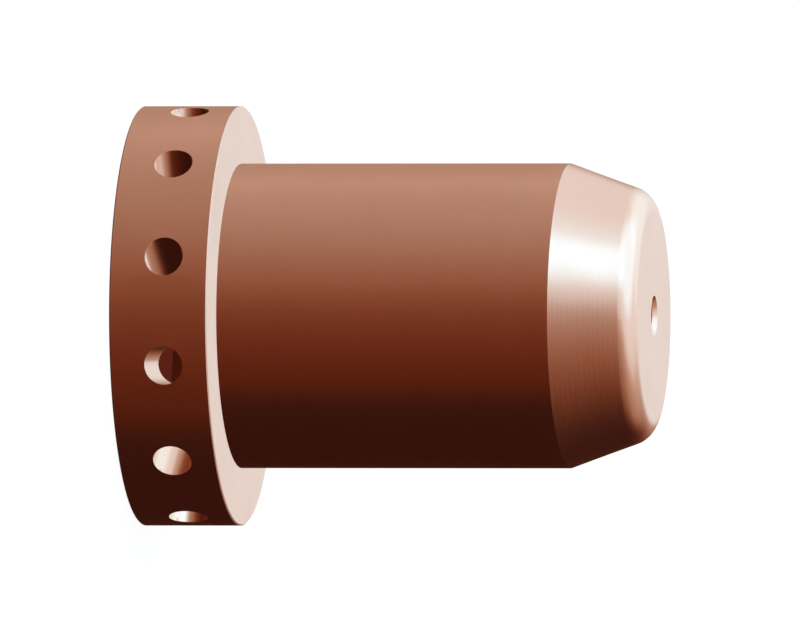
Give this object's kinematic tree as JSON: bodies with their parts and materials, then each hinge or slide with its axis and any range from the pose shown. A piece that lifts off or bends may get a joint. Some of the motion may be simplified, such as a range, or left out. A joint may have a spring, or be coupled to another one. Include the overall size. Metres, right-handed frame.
{
  "type": "plasma torch nozzle",
  "caption": "Flanged copper nozzle for a plasma cutting torch: swirl holes through the flange feed gas to a chamber that tapers to a small arc orifice in the rounded nose.",
  "frame": {"origin": "centre of the flange's back face, which the part stands on", "axes": "+Z along the turning axis towards the nose and the orifice; -Y is the side where one swirl hole runs parallel to the Y axis"},
  "size_m": [0.0175, 0.0174, 0.0215],
  "materials": {
    "copper": "fine-turned bare copper, satin, with faint turning marks"
  },
  "bodies": {
    "root": {"nozzle": "copper"}
  },
  "joints": []
}
